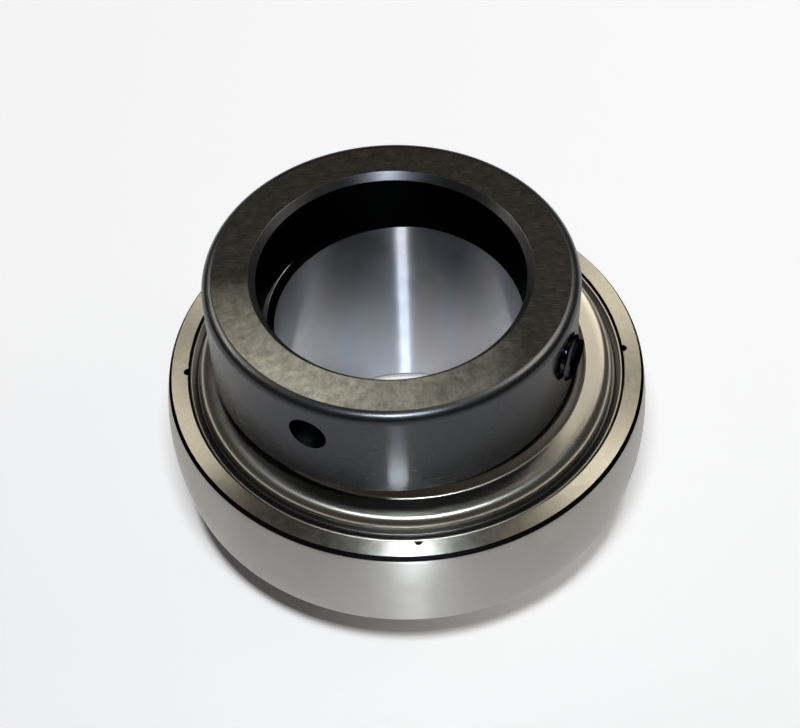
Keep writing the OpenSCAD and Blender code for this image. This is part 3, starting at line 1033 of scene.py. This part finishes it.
class BEARING_OT_stage(Operator):
    """Sets the floor, the world, the lights and the camera"""

    bl_idname = "bearing.stage"
    bl_label = "Stage"

    def execute(self, context):
        studio = context.scene.bearing_studio
        context.scene.view_settings.view_transform = "Standard"
        self.floor(studio)
        self.world(context.scene)
        self.lights(studio)
        self.camera(context.scene, studio)
        return {"FINISHED"}

    def floor(self, studio):
        """A wide pale floor that looks evenly white away from the shadow."""
        bm = bmesh.new()
        place = Matrix.Translation((0, 0, studio.floor_height))
        bmesh.ops.create_grid(bm, x_segments=1, y_segments=1, size=3.0, matrix=place)
        floor = to_object("floor", bm, (self.floor_paint(studio),))

    def floor_paint(self, studio):
        """White paint, lifted by a glow where the key light falls off, for the camera and for reflections.
        Reflections also see painted shade on the floor inside the bore, to each side.
        """
        white = (0.82, 0.82, 0.82, 1)
        # Tint of the painted shade that reflections see on the floor inside the bore.
        dark = (0.05, 0.05, 0.05, 1)
        glow_tint = (0.99, 0.99, 1.0, 1)
        oval = (0.9, 1, 0)
        material = bpy.data.materials.new("pale floor")
        material.use_nodes = True
        nodes = Nodes(material.node_tree)
        material.node_tree.nodes.clear()
        place = nodes.add("ShaderNodeTexCoord").outputs["Object"]
        split = nodes.add("ShaderNodeSeparateXYZ", Vector=place).outputs
        path = nodes.add("ShaderNodeLightPath").outputs
        span = nodes.apart(nodes.mapped(place, Scale=oval), (0, 0, 0))
        inside = nodes.spread(span, 21.5 * MM, 22.2 * MM, 1.0, 0.0)
        # Painted shade: inside the bore, reflections see the floor darker toward each side.
        bore_side_shade = nodes.spread(nodes.math("ABSOLUTE", split["X"]), 4 * MM, 10 * MM, 0.0, 0.85)
        shade = nodes.math("MULTIPLY", nodes.math("MULTIPLY", inside, bore_side_shade), path["Is Glossy Ray"])
        matt = nodes.add("ShaderNodeBsdfDiffuse", Color=nodes.blend(shade, white, dark)).outputs["BSDF"]
        clear = self.unshaded(nodes, split, span, inside)
        lift = nodes.math("MULTIPLY", self.missing_light(nodes, studio, place, split["X"]), clear)
        glow = nodes.add("ShaderNodeEmission", Color=glow_tint, Strength=lift).outputs["Emission"]
        lifted = nodes.fill("ShaderNodeAddShader", None, "Shader", matt, glow)
        seen = nodes.math("MAXIMUM", path["Is Camera Ray"], path["Is Glossy Ray"])
        seen = nodes.math("MAXIMUM", seen, path["Is Transmission Ray"])
        mixed = nodes.fill("ShaderNodeMixShader", None, "Shader", seen, matt, lifted)
        nodes.add("ShaderNodeOutputMaterial", Surface=mixed)
        return material

    def missing_light(self, nodes, studio, place, across):
        """What the floor lacks of an even white, which grows with the distance from the key light."""
        reach = 150 * MM
        drift = 0.03
        away = nodes.apart(place, studio.key)
        height = studio.key.z - studio.floor_height
        share = nodes.math("POWER", nodes.math("DIVIDE", height, away), 4.0)
        white = nodes.spread(across, -reach, reach, studio.floor_white - drift, studio.floor_white + drift)
        gap = nodes.math("SUBTRACT", white, nodes.math("MULTIPLY", share, studio.floor_lit))
        return nodes.math("MAXIMUM", gap, 0.0)

    def unshaded(self, nodes, split, span, inside):
        """Where the floor's glow is lifted: away from the bearing's foot, and at the back inside the bore.
        This paints part of the shadow, fill light within it and a pool of light in the bore.
        """
        # Painted fill light: within the shadow the glow rises from none on the left to 0.6 on the right.
        painted_fill_right = nodes.spread(split["X"], -20 * MM, 30 * MM, 0.0, 0.6)
        # Painted shadow: the glow is withheld in an oval round the bearing, on top of the key light's own
        # shadow.
        beyond_shadow = nodes.spread(span, 36.2 * MM, 37.3 * MM, painted_fill_right, 1.0)
        beyond_foot = nodes.spread(span, 22.2 * MM, 23 * MM)
        # Painted pool of light: inside the bore only the floor toward the back glows.
        at_back = nodes.spread(split["Y"], 4 * MM, 21 * MM)
        outside = nodes.math("MULTIPLY", beyond_shadow, beyond_foot)
        return nodes.math("MAXIMUM", outside, nodes.math("MULTIPLY", inside, at_back))

    def world(self, scene):
        """A dim warm room with a pale horizon. The camera sees white beyond the floor."""
        horizon = (0.12, 0.115, 0.11, 1)
        ceiling = (0.06, 0.056, 0.05, 1)
        white = (1, 1, 1, 1)
        horizon_top = 0.22
        world = bpy.data.worlds.new("room")
        scene.world = world
        world.use_nodes = True
        nodes = Nodes(world.node_tree)
        world.node_tree.nodes.clear()
        direction = nodes.add("ShaderNodeTexCoord").outputs["Generated"]
        rise = nodes.add("ShaderNodeSeparateXYZ", Vector=direction).outputs["Z"]
        room = nodes.blend(nodes.spread(rise, 0.0, horizon_top), horizon, ceiling)
        path = nodes.add("ShaderNodeLightPath").outputs
        seen = nodes.blend(path["Is Camera Ray"], room, white)
        shade = nodes.add("ShaderNodeBackground", Color=seen, Strength=1.0)
        nodes.add("ShaderNodeOutputWorld", Surface=shade.outputs["Background"])

    def lights(self, studio):
        """The flash, small lamps that single pieces mirror, a side light and three panels."""
        pale = (0.95, 0.97, 1.0)
        cool = (0.84, 0.92, 1.0)
        warm = (1.0, 0.93, 0.80)
        outer, inner = "ground_outer_ring", "honed_inner_ring"
        collar, screw = "black_locking_collar", "threaded_set_screw"
        rings = (outer, inner, collar, screw)
        plates = ("pressed_shroud_upper", "pressed_shroud_lower", outer)
        middle = studio.key.x
        self.lamp("key light", studio.key_power, pale, place=studio.key, size=(0.05, 0.03), use="diffuse")
        self.lamp("key glint", studio.glint_power, cool, place=(middle, -0.110, 0.2936), size=(0.02, 0.015))
        self.lamp("front strip", studio.front_power, cool, place=(middle, -0.267, 0.136),
                  size=(0.022, 0.20), pieces=(outer,))
        streak = self.lamp("bore streak", studio.streak_power, cool, place=(0, -0.32, -0.38),
                           size=(0.015, 0.45), pieces=(inner,))
        gleam = self.lamp("collar gleam", studio.gleam_power, cool, place=(middle, -0.0362, 0.0148),
                          size=(0.0042, 0.0045), pieces=(collar,))
        gleam.data.shape = "ELLIPSE"
        gleam.rotation_euler = (math.radians(140), 0, 0)
        stops = self.gathered("bore streak stops", (screw,))
        streak.light_linking.blocker_collection = stops
        gleam.light_linking.blocker_collection = stops
        self.lamp("side light", studio.side_power, warm, place=(0.85, 0.1, 0.45), size=(0.5, 0.5),
                  use="diffuse")
        self.lamp("right panel", studio.right_power, warm, place=(0.410, 0.343, 0.845),
                  size=(0.572, 0.249), pieces=rings)
        self.lamp("left panel", studio.left_power, warm, place=(-0.534, 0.418, 0.735),
                  size=(0.60, 0.107), pieces=rings)
        self.lamp("back panel", studio.back_power, warm, place=(0.201, 0.842, 0.501),
                  size=(0.667, 0.60), pieces=plates)

    def lamp(self, name, power, tint, place, size, use="glossy", pieces=()):
        """One lamp aimed at the bearing, for matt surfaces or for the reflections of all or some pieces."""
        data = bpy.data.lights.new(name, "AREA")
        data.shape = "RECTANGLE"
        data.size, data.size_y = size
        data.energy = power
        data.color = tint
        lamp = bpy.data.objects.new(name, data)
        lamp.location = place
        lamp.rotation_euler = (-Vector(place)).to_track_quat("-Z", "Y").to_euler()
        lamp.visible_camera = False
        lamp.visible_diffuse = use == "diffuse"
        lamp.visible_glossy = use == "glossy"
        if pieces:
            lamp.light_linking.receiver_collection = self.gathered(name + " reaches", pieces)
        bpy.context.scene.collection.objects.link(lamp)
        return lamp

    def gathered(self, name, pieces):
        """A collection of the pieces that a lamp reaches, or that stop its light."""
        group = bpy.data.collections.new(name)
        for piece in pieces:
            group.objects.link(bpy.data.objects[piece])
        return group

    def camera(self, scene, studio):
        """The camera, placed by its distance, elevation and roll."""
        data = bpy.data.cameras.new("camera")
        data.sensor_fit = "HORIZONTAL"
        data.sensor_width = 36
        data.lens = studio.focal / MM
        data.clip_start = 0.005
        back = Vector((0, -math.cos(studio.elevation), math.sin(studio.elevation)))
        right = Vector((1, 0, 0))
        up = back.cross(right)
        turned_right = math.cos(studio.roll) * right + math.sin(studio.roll) * up
        turned_up = back.cross(turned_right)
        place = studio.target + studio.distance * back
        camera = bpy.data.objects.new("camera", data)
        axes = Matrix((turned_right, turned_up, back)).transposed()
        camera.matrix_world = Matrix.Translation(place) @ axes.to_4x4()
        scene.collection.objects.link(camera)
        scene.camera = camera


OPERATORS = (
    BEARING_OT_finishes,
    BEARING_OT_outer_ring,
    BEARING_OT_inner_ring,
    BEARING_OT_seals,
    BEARING_OT_balls_and_cage,
    BEARING_OT_locking_collar,
    BEARING_OT_set_screw,
    BEARING_OT_stage,
)


class BEARING_PT_pieces(Panel):
    """Lists the operators that build the bearing"""

    bl_idname = "BEARING_PT_pieces"
    bl_label = "Insert ball bearing"
    bl_space_type = "VIEW_3D"
    bl_region_type = "UI"
    bl_category = "Bearing"

    def draw(self, context):
        for operator in OPERATORS:
            self.layout.operator(operator.bl_idname)


GROUPS = {
    "bearing_rings": RingSizes,
    "bearing_seals": SealSizes,
    "bearing_collar": CollarSizes,
    "bearing_finishes": Finishes,
    "bearing_studio": Studio,
}


def register():
    """Registers the property groups, operators and panel."""
    for name, group in GROUPS.items():
        bpy.utils.register_class(group)
        setattr(bpy.types.Scene, name, PointerProperty(type=group))
    for item in (*OPERATORS, BEARING_PT_pieces):
        bpy.utils.register_class(item)


def unregister():
    """Undoes register."""
    for item in (BEARING_PT_pieces, *reversed(OPERATORS)):
        bpy.utils.unregister_class(item)
    for name, group in reversed(GROUPS.items()):
        delattr(bpy.types.Scene, name)
        bpy.utils.unregister_class(group)


def main():
    """Builds every piece and the stage."""
    register()
    bpy.ops.bearing.finishes()
    bpy.ops.bearing.outer_ring()
    bpy.ops.bearing.inner_ring()
    bpy.ops.bearing.seals()
    bpy.ops.bearing.balls_and_cage()
    bpy.ops.bearing.locking_collar()
    bpy.ops.bearing.set_screw()
    bpy.ops.bearing.stage()


if __name__ == "__main__":
    main()
